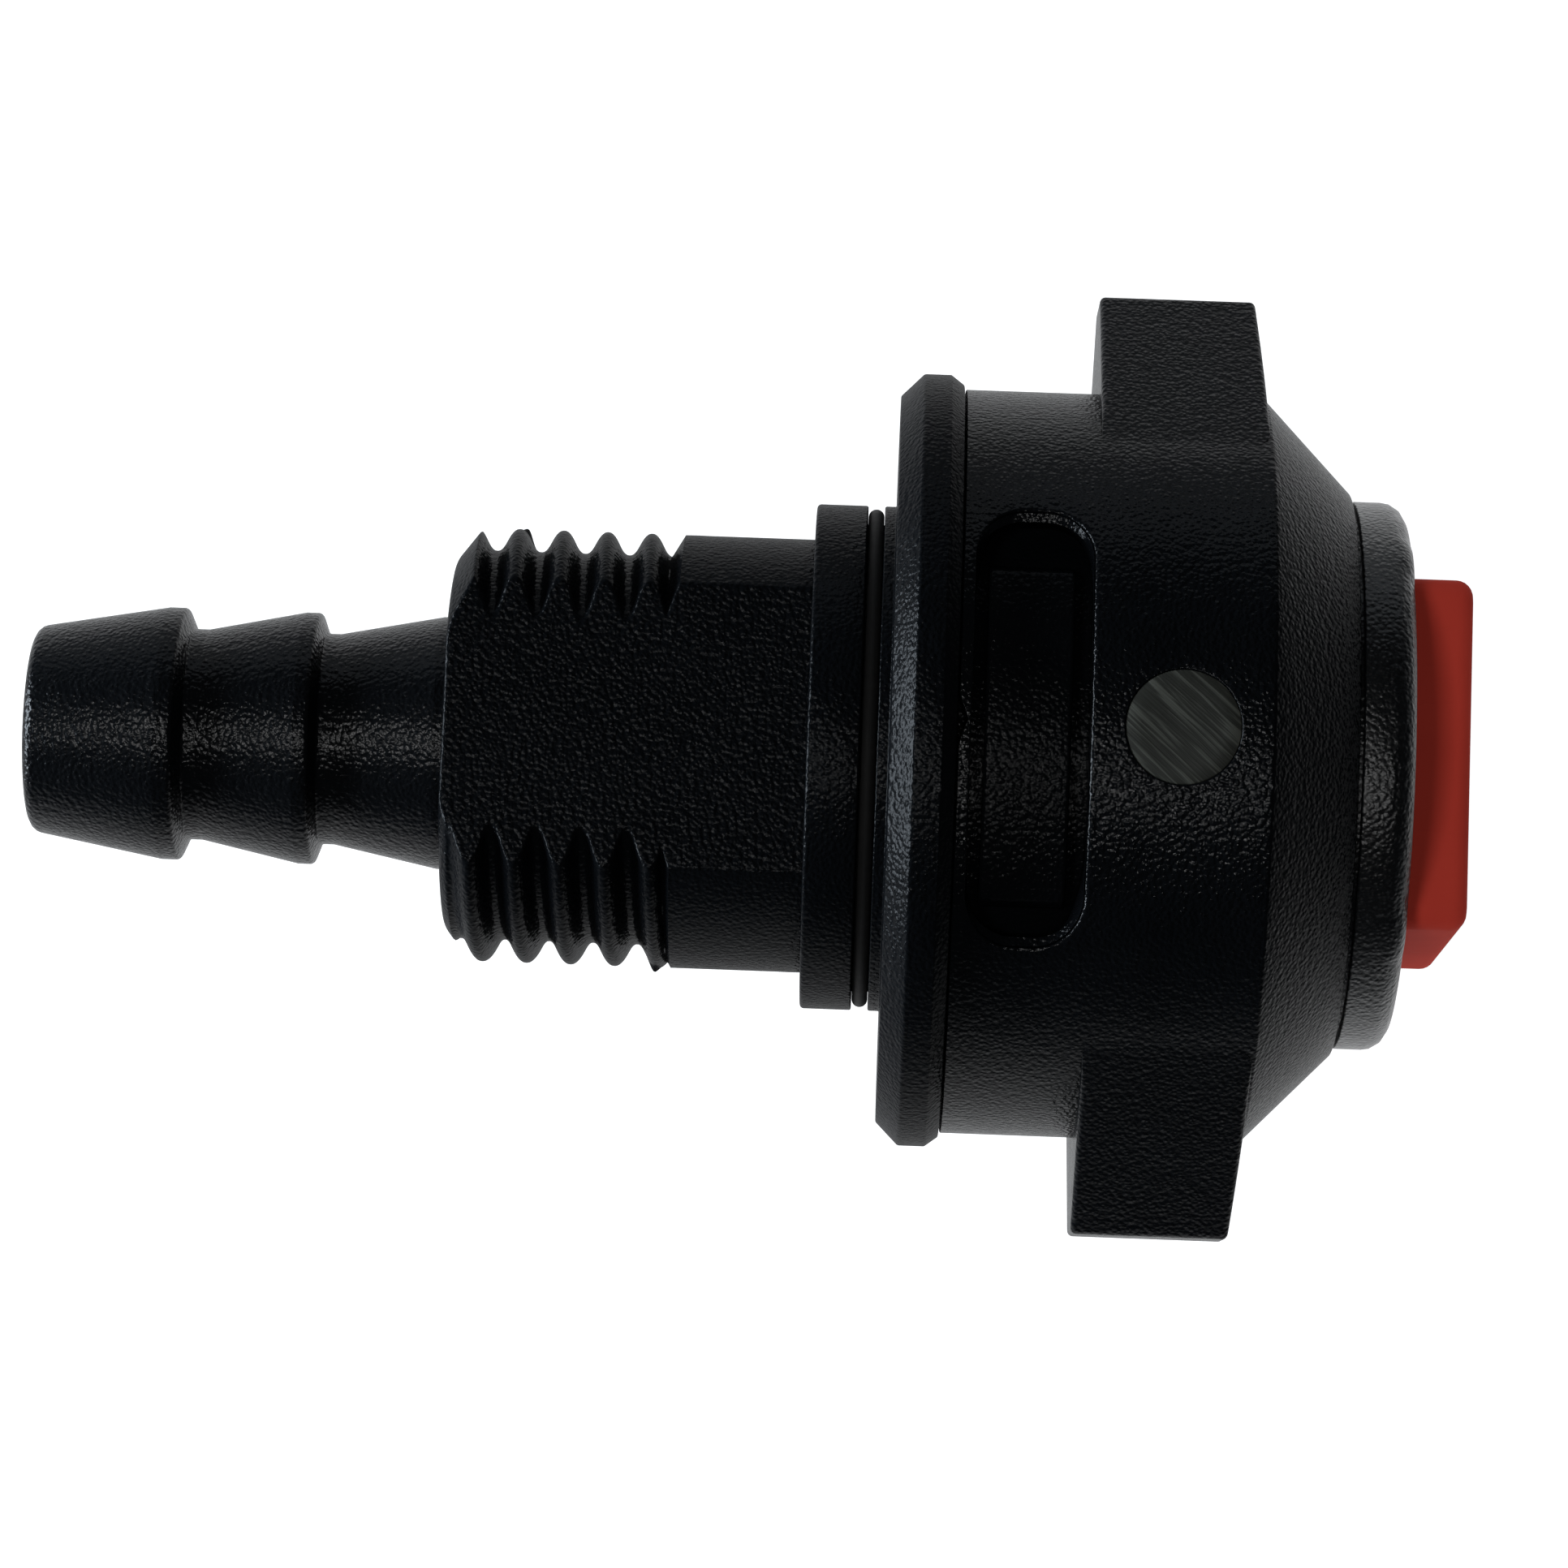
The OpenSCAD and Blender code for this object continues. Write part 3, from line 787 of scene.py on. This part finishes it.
lug_ends = [side + LUG_OFFSET + s * LUG_HALF for side in SIDES for s in (-1, 1)]
flat_ends = [side + SQUARE_TURN + s * FLAT_HALF_ANGLE for side in SIDES for s in (-1, 1)]
body_angles = column_angles(1.0, busy=lug_ends + flat_ends + [0, 180], busy_step=0.5, busy_half=3.0)
body_skin = Skin(body_angles, body_column)
body_piece = body_skin.build("moulded_body", body_black)
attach(body_piece, "valve")
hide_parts("valve_body")

# %% [markdown]
# ## The winged cap
#
# A wing's cross-section is a gable: it leaves the barrel almost along its surface and narrows to a flat tip.
# In the columns near a wing the barrel's line climbs a wall, runs along the gable and comes down again.
# Everywhere else the wall has no height, so those points weld together and vanish.

# %% The gable of a wing
WING_TIP_HALF = 1.35
WING_BASE_HALF = 6.9
WING_TAPER = 0.25
wing_base_y = math.sqrt(BARREL_R ** 2 - WING_BASE_HALF ** 2)
gable = [(WING_TIP, 0, 0), (WING_TIP, WING_TIP_HALF, 0.35)]
gable += run((WING_TIP, WING_TIP_HALF), (wing_base_y, WING_BASE_HALF), 30)
gable += [(wing_base_y, WING_BASE_HALF, 0)]
gable = np.array(rounded(gable, closed=False))
gable_angle = np.degrees(np.arctan2(gable[:, 1], gable[:, 0]))
gable_radius = np.hypot(*gable.T)


def wing_radius(angle):
    off = min(abs(off_centre(angle, 0)), abs(off_centre(angle, 180)))
    return float(np.interp(off, gable_angle, gable_radius, right=BARREL_R))


print("half of a gable has", len(gable), "points")

# %% One column of the cap
NOTCH_DEPTH = 0.25
NOTCH_HALF = 3.3
CONE_FRONT_R = 8.53
OPENING_R = 7.95
LIP_X = 12.9
INNER_CONE_X = 11.2
RIM_EDGE = 0.04
BARREL_RINGS = 18
WING_RINGS = 16
CONE_RINGS = 4
WING_MARGIN = 0.36
FOOT_STEP = 0.3
FOOT_BLEND = 60
WING_EDGE = 0.35


def cap_column(angle):
    wing = wing_radius(angle)
    off = min(abs(off_centre(angle, side)) for side in SIDES)
    rim = CAP_START + NOTCH_DEPTH * max(0, 1 - off / NOTCH_HALF)
    lift = (wing - BARREL_R) / (WING_TIP - BARREL_R)
    foot = WING_X[1] - FOOT_STEP * max(0, 1 - lift * FOOT_BLEND)
    front = foot - WING_TAPER * lift
    wing_x = np.linspace(WING_X[0] + WING_MARGIN, front - WING_MARGIN, WING_RINGS)
    plain_x = np.linspace(WING_X[0] + WING_MARGIN, WING_X[1] - WING_MARGIN, WING_RINGS)
    barrel_x = np.linspace(CAP_START + 0.45, WING_X[0] - 0.1, BARREL_RINGS)
    corners = [(CONE_END, OPENING_R, 0), (LIP_X, OPENING_R, 0), (INNER_CONE_X, CAP_BORE_R, 0)]
    corners += [(x, CAP_BORE_R, 0) for x in plain_x[::-1]]
    corners += [(WING_X[0], CAP_BORE_R, 0)]
    corners += [(x, CAP_BORE_R, 0) for x in barrel_x[::-1]]
    corners += [(rim + RIM_EDGE, CAP_BORE_R, 0), (rim, CAP_BORE_R, 0), (rim, BARREL_R, RIM_EDGE)]
    corners += [(x, BARREL_R, 0) for x in barrel_x]
    corners += [(WING_X[0], BARREL_R, 0), (WING_X[0], wing, WING_EDGE)]
    corners += [(x, wing, 0) for x in wing_x]
    corners += [(front, wing, WING_EDGE), (foot, BARREL_R, 0), (BARREL_END, BARREL_R, 0.15)]
    corners += run((BARREL_END, BARREL_R), (CONE_END, CONE_FRONT_R), CONE_RINGS)
    corners += [(CONE_END, CONE_FRONT_R, 0.12)]
    return rounded(corners)


wing_tip_angle = math.degrees(math.atan2(WING_TIP_HALF, WING_TIP))
busy = [c + s * wing_tip_angle for c in (0, 180) for s in (-1, 1)]
cap_angles = column_angles(1.25, busy=busy, busy_step=0.35, busy_half=2.2)
cap_skin = Skin(cap_angles, cap_column)
print("the cap has", cap_skin.columns, "columns of", cap_skin.places, "points")

# %% Windows and pin holes in the cap
WINDOW_PATCH = 50
WINDOW_LIP = 0.14
LEFT_LIP_THINNER = 0.65
PIN_PATCH = 11
PIN_LIP = 0.05

for side in SIDES:
    window = {
        "angle": side, "half_angle": WINDOW_PATCH, "x": (CAP_START + 0.01, WING_X[0] + 0.02),
        "lip": WINDOW_LIP, "thin_left": LEFT_LIP_THINNER,
        "centre": np.array([sum(WINDOW_X) / 2, 0]), "corner": WINDOW_CORNER,
        "core": np.array([(WINDOW_X[1] - WINDOW_X[0]) / 2, WINDOW_HALF]) - WINDOW_CORNER,
    }
    cap_skin.through_hole(window, BARREL_R, CAP_BORE_R, WINDOW_LEDGE)
    pin_hole = {
        "angle": side, "half_angle": PIN_PATCH, "x": (WING_X[0] + 0.3, WING_X[1] - 0.3),
        "lip": PIN_LIP, "thin_left": 0,
        "centre": np.array([PIN_X, 0]), "corner": PIN_R + 0.01, "core": np.array([0, 0]),
    }
    cap_skin.through_hole(pin_hole, BARREL_R, CAP_BORE_R)

cap_piece = cap_skin.build("moulded_cap", cap_black)
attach(cap_piece, "cap")
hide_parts("winged_cap")

# %% [markdown]
# ## The two pins
#
# Each pin was pushed in and sanded flush, so its outer end follows the barrel's curve. It is a disc of rings
# lifted on to the barrel, with the faintest rounded edge, and a plain inner end.

# %% Pins sanded to the barrel
PIN_SIDES = 72
PIN_EDGE = 0.04
PIN_SINK = 0.01


def flush_pin(name, node, side):
    rings = [(0.4, 0), (0.8, 0), (1.2, 0), (PIN_R - PIN_EDGE, 0), (PIN_R - PIN_EDGE * 0.3, PIN_EDGE * 0.3)]
    rings += [(PIN_R, PIN_EDGE), (PIN_R, 0.6)]
    top = BARREL_R - PIN_SINK
    turn = math.radians(side)

    def lifted(x, across, height):
        y = height * math.cos(turn) - across * math.sin(turn)
        z = height * math.sin(turn) + across * math.cos(turn)
        return (x, y, z)

    points = [lifted(PIN_X, 0, top)]
    spokes = [2 * math.pi * k / PIN_SIDES for k in range(PIN_SIDES)]
    for ring, drop in rings:
        for a in spokes:
            across = ring * math.sin(a)
            height = math.sqrt(top ** 2 - across ** 2) - drop
            points.append(lifted(PIN_X + ring * math.cos(a), across, height))
    inner = pin_low[2]
    points += [lifted(PIN_X + PIN_R * math.cos(a), PIN_R * math.sin(a), inner) for a in spokes]
    points.append(lifted(PIN_X, 0, inner))
    faces = [[0, 1 + k, 1 + (k + 1) % PIN_SIDES] for k in range(PIN_SIDES)]
    for ring in range(len(rings)):
        a, b = 1 + ring * PIN_SIDES, 1 + (ring + 1) * PIN_SIDES
        faces += [[a + k, b + k, b + (k + 1) % PIN_SIDES, a + (k + 1) % PIN_SIDES] for k in range(PIN_SIDES)]
    last = 1 + len(rings) * PIN_SIDES
    faces += [[last + k, last + (k + 1) % PIN_SIDES, last + PIN_SIDES] for k in range(PIN_SIDES)]
    piece = mesh_piece(name, points, faces, pin_grey)
    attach(piece, "cap")
    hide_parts(node)


flush_pin("flush_pin_upper", "cap_pin_upper", 90)
flush_pin("flush_pin_lower", "cap_pin_lower", 270)

# %% [markdown]
# ## The nose ring and the button
#
# The ring is round outside and square inside, and the button is a square bar on a round skirt. Both still
# fit the column idea, because a rounded square is also a radius that depends on the angle.

# %% A rounded square as a radius
HOLE_HALF = 5.31
BUTTON_HALF = 5.25
BUTTON_CORNER = 0.75
BUTTON_EDGE = 0.5


def square_radius(angle, half, corner):
    angle = angle - SQUARE_TURN
    folded = abs(off_centre(angle, 90 * round(angle / 90)))
    c, s = math.cos(math.radians(folded)), math.sin(math.radians(folded))
    straight = half / c
    if straight * s <= half - corner:
        return straight
    core = half - corner
    along = core * (c + s)
    return along + math.sqrt(along ** 2 - 2 * core ** 2 + corner ** 2)


NECK_R = 8.05
NECK_L = 0.12
BOSS_R = 7.9
NOSE_EDGE = 0.9
corner_angle = math.degrees(math.atan2(BUTTON_HALF - BUTTON_CORNER, BUTTON_HALF))
square_busy = [q + SQUARE_TURN + s * (45 + corner_angle) / 2 for q in (0, 90, 180, 270) for s in (-1, 1)]
square_angles = column_angles(1.5, busy=square_busy, busy_step=0.4, busy_half=2.4)


def nose_column(angle):
    hole = square_radius(angle, HOLE_HALF, BUTTON_CORNER)
    return rounded([
        (LIP_X, hole, 0), (LIP_X, BOSS_R, 0.05), (CONE_END, BOSS_R, 0), (CONE_END, NECK_R, 0),
        (CONE_END + NECK_L, NECK_R, 0), (CONE_END + NECK_L, NOSE_R, 0.08),
        (NOSE_FRONT, NOSE_R, NOSE_EDGE), (NOSE_FRONT, hole, 0.1),
    ])


nose_piece = Skin(square_angles, nose_column).build("nose_collar", nose_black)
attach(nose_piece, "cap")
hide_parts("nose_ring")


# %% The red button
SKIRT_L = 0.8


def button_column(angle):
    side = square_radius(angle, BUTTON_HALF, BUTTON_CORNER)
    skirt_front = BUTTON_BACK + SKIRT_L
    points = rounded([
        (BUTTON_BACK, 0, 0), (BUTTON_BACK, SKIRT_R, 0.08),
        (skirt_front, SKIRT_R, 0.08), (skirt_front, side, 0),
    ], closed=False)
    for bend in range(0, 91, 15):
        out, up = math.cos(math.radians(bend)), math.sin(math.radians(bend))
        inset = BUTTON_EDGE * (1 - out)
        r = square_radius(angle, BUTTON_HALF - inset, BUTTON_CORNER - inset)
        points.append((BUTTON_FRONT - BUTTON_EDGE * (1 - up), r))
    points += [(BUTTON_FRONT, points[-1][1] * share) for share in (0.66, 0.33, 0)]
    return points


button_piece = Skin(square_angles, button_column, closed=False).build("square_button", button_red)
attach(button_piece, "button")
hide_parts("push_button")

# %% [markdown]
# ## The return spring
#
# The spring sits between the seat and the washer on the stem. It is a round wire swept along a helix whose
# ends close up, as a wound spring's do. How much of its length it keeps when the button goes in is worked
# out, but nothing here shortens it.

# %% A wound spring
spring_low, spring_high = box_mm("return_spring")
WIRE_R = 0.25
WIRE_SIDES = 14
SPRING_TURNS = 4.5
SPRING_STEPS = 44
PRESS_TRAVEL = 1.6
END_CLOSING = 0.11


def wound_spring():
    mid_r = spring_high[1] - WIRE_R
    low, high = spring_low[0] + WIRE_R, spring_high[0] - WIRE_R
    count = int(SPRING_TURNS * SPRING_STEPS)
    points, faces = [], []
    for i in range(count + 1):
        share = i / count
        rise = share - END_CLOSING * math.sin(2 * math.pi * share)
        x, turn = low + (high - low) * rise, 2 * math.pi * SPRING_TURNS * share
        for k in range(WIRE_SIDES):
            a = 2 * math.pi * k / WIRE_SIDES
            r = mid_r + WIRE_R * math.cos(a)
            points.append((x + WIRE_R * math.sin(a), r * math.cos(turn), r * math.sin(turn)))
    for i in range(count):
        for k in range(WIRE_SIDES):
            a, b = i * WIRE_SIDES, (i + 1) * WIRE_SIDES
            faces.append([a + k, a + (k + 1) % WIRE_SIDES, b + (k + 1) % WIRE_SIDES, b + k])
    faces += [list(range(WIRE_SIDES)), list(range(count * WIRE_SIDES, (count + 1) * WIRE_SIDES))]
    return mesh_piece("wound_spring", points, faces, steel, sharp=60)


spring_piece = wound_spring()
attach(spring_piece, "valve")
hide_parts("return_spring")
spring_length = spring_high[0] - spring_low[0]
spring_keep = (spring_length - PRESS_TRAVEL) / spring_length
spring_foot = (spring_low[0] * MM, 0, 0)
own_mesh(spring_piece)
print("the pressed spring keeps", round(spring_keep, 2), "of its length")

# %% [markdown]
# ## Pieces that stay as the CAD made them
#
# Seals, seat, guide, stem, disc and clips have the right shape already. They only get their finishes.

# %% Finishes on the CAD pieces
finishes = {
    "panel_o_ring": rubber, "seat_o_ring": rubber, "guide_o_ring": rubber, "stem_o_ring": rubber,
    "cap_o_ring": rubber, "disc_seal": rubber, "seat_disc": acetal, "stem_guide": acetal,
    "valve_disc": acetal, "stem": steel, "disc_clip": steel, "spring_washer": steel, "spring_clip": steel,
}
for node, finish in finishes.items():
    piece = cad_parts[node]
    for material_slot in piece.material_slots:
        material_slot.material = finish
print(len(finishes), "CAD pieces have a finish")

# %% [markdown]
# ## Floor and light
#
# The floor is plain and pale, just under the valve's lowest point. It glows by itself with painted light,
# full round the valve and fading further out, so the valve casts hardly any shadow on it. Black plastic shows
# only what it mirrors, so the light matters more than the colour. The room is dim, and a little less so near
# the horizon. One small lamp stands over the valve for the sparkle, and a second one to its left lights the
# barb. Two wide soft lamps, on the left and at the back, pick out the edges.

# %% A pale floor
BRIGHT_WITHIN = 36.0
DIM_BEYOND = 85.0
FLOOR_HALF_M = 3.0
FLOOR_GAP_M = 0.0002
FLOOR_GLOW = 0.93


def pale_floor():
    board = Board("pale_floor")
    place = board.millimetres()
    x, y, _ = board.axes(place)
    away = (x * x + y * y) ** 0.5
    # Painted light: the floor glows by itself, full within BRIGHT_WITHIN mm of the middle and fading to a
    # fifth by DIM_BEYOND mm.
    painted_glow_pool = board.ramp(away / DIM_BEYOND, [(BRIGHT_WITHIN / DIM_BEYOND, 1.0), (1.0, 0.2)])
    tint = board.blend(board.noise(place, 0.02, 2.0), (0.38, 0.38, 0.38), (0.42, 0.42, 0.42))
    material = board.finish(
        Base_Color=tint, Roughness=0.9, Specular_IOR_Level=0.1,
        Emission_Color=painted_glow_pool, Emission_Strength=FLOOR_GLOW,
    )
    mesh = bpy.data.meshes.new("floor")
    half, low = FLOOR_HALF_M, cad_box[0][2] - FLOOR_GAP_M
    corners = [(-half, -half, low), (half, -half, low), (half, half, low), (-half, half, low)]
    mesh.from_pydata(corners, [], [[0, 1, 2, 3]])
    mesh.materials.append(material)
    floor = bpy.data.objects.new("floor", mesh)
    bpy.context.scene.collection.objects.link(floor)
    print("the floor is at", round(low, 5), "m")


pale_floor()


# %% A dim room, a little less dim low down
HORIZON = (0.09, 0.10, 0.115, 1)
OVERHEAD = (0.012, 0.0125, 0.013, 1)
HORIZON_AT = 0.02
OVERHEAD_AT = 0.55


def room_light():
    world = bpy.data.worlds.new("room")
    bpy.context.scene.world = world
    world.use_nodes = True
    nodes, links = world.node_tree.nodes, world.node_tree.links
    nodes.clear()
    direction = nodes.new("ShaderNodeTexCoord")
    split = nodes.new("ShaderNodeSeparateXYZ")
    fade = nodes.new("ShaderNodeValToRGB")
    fade.color_ramp.elements[0].color = HORIZON
    fade.color_ramp.elements[0].position = HORIZON_AT
    fade.color_ramp.elements[1].color = OVERHEAD
    fade.color_ramp.elements[1].position = OVERHEAD_AT
    sky = nodes.new("ShaderNodeBackground")
    end = nodes.new("ShaderNodeOutputWorld")
    links.new(direction.outputs["Generated"], split.inputs[0])
    links.new(split.outputs["Z"], fade.inputs[0])
    links.new(fade.outputs[0], sky.inputs["Color"])
    links.new(sky.outputs[0], end.inputs["Surface"])
    print("the room is", world.name)


room_light()


# %% Lamps
def soft_lamp(name, place, aim, size, watts, tint=(1, 1, 1)):
    light = bpy.data.lights.new(name, "AREA")
    light.shape = "RECTANGLE"
    light.size, light.size_y = size
    light.energy = watts
    light.color = tint
    lamp = bpy.data.objects.new(name, light)
    bpy.context.scene.collection.objects.link(lamp)
    lamp.location = place
    lamp.rotation_euler = (Vector(aim) - Vector(place)).to_track_quat("-Z", "Y").to_euler()
    print(name, watts, "W")


soft_lamp("top_lamp", (0.02, -0.12, 0.585), (0, 0, 0), (0.055, 0.055), 0.5)
soft_lamp("left_lamp", (-0.60, 0.0, 0.10), (0, 0, 0), (0.5, 0.2), 12.0, (0.80, 0.90, 1.0))
soft_lamp("left_high_lamp", (-0.22, -0.05, 0.55), (0, 0, 0), (0.14, 0.14), 1.0)
soft_lamp("back_lamp", (0.0, 0.60, 0.14), (0, 0, 0), (0.8, 0.2), 0.5, (0.86, 0.93, 1.0))

# %% [markdown]
# ## The camera
#
# The camera looks almost straight down on the valve from 0.18 m with a long lens. It stands a little on
# the -Y side, so that the middles of the window and the pin lie above the axis, and it is rolled by two
# degrees.

# %% Camera
CAMERA_DISTANCE = 180.0
CAMERA_ELEVATION = math.radians(84.0)
CAMERA_OVER_X = -0.5
AIM_X = -3.13
AIM_BELOW = 0.87
CAMERA_ROLL = math.radians(2.06)
HALF_WIDTH = 23.8
SENSOR_WIDTH = 36

upward = Vector((0, math.sin(CAMERA_ELEVATION), math.cos(CAMERA_ELEVATION)))
towards = Vector((0, -math.cos(CAMERA_ELEVATION), math.sin(CAMERA_ELEVATION)))
aim = (Vector((AIM_X, 0, 0)) - upward * AIM_BELOW) * MM
stand = (Vector((CAMERA_OVER_X, 0, 0)) - upward * AIM_BELOW + towards * CAMERA_DISTANCE) * MM

lens = bpy.data.cameras.new("camera")
lens.sensor_width = SENSOR_WIDTH
lens.lens = SENSOR_WIDTH / 2 * (stand - aim).length / (HALF_WIDTH * MM)
lens.clip_start = 0.01
camera = bpy.data.objects.new("camera", lens)
bpy.context.scene.collection.objects.link(camera)
back = (stand - aim).normalized()
right = upward.cross(back).normalized()
over = back.cross(right)
turned_right = right * math.cos(CAMERA_ROLL) + over * math.sin(CAMERA_ROLL)
turned_over = over * math.cos(CAMERA_ROLL) - right * math.sin(CAMERA_ROLL)
matrix = camera.matrix_world.copy()
for row in range(3):
    matrix[row][0], matrix[row][1], matrix[row][2] = turned_right[row], turned_over[row], back[row]
    matrix[row][3] = stand[row]
camera.matrix_world = matrix
bpy.context.scene.camera = camera
bpy.context.scene.view_settings.view_transform = "Standard"
print("lens", round(lens.lens, 1), "mm")
